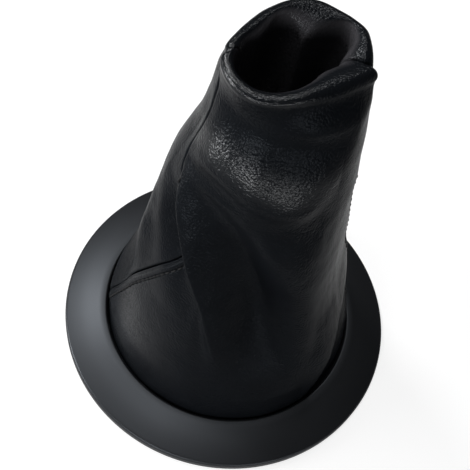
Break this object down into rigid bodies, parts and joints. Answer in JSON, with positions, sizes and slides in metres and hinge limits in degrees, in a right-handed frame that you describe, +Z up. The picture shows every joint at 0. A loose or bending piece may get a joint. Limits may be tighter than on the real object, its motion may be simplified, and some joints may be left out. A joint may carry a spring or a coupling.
{
  "type": "gear lever gaiter",
  "caption": "Black leather gear lever gaiter: a creased sleeve sewn from panels, rolled in at its rim, on a round moulded bezel ring.",
  "frame": {"origin": "centre of the bezel ring's foot, where the gaiter rests", "axes": "+Z up the gear lever, from the ring to the rim; +X to the right and +Y away, seen from the front panel"},
  "size_m": [0.14, 0.14, 0.157],
  "materials": {
    "ring_plastic": "satin black, lightly moulded",
    "leather": "black, fine grain, soft sheen",
    "thread": "black sewing thread"
  },
  "bodies": {
    "root": {"bezel_ring": "ring_plastic", "front_panel": "leather", "rear_panel": "leather", "left_seam_thread": "thread", "right_seam_thread": "thread"}
  },
  "joints": []
}
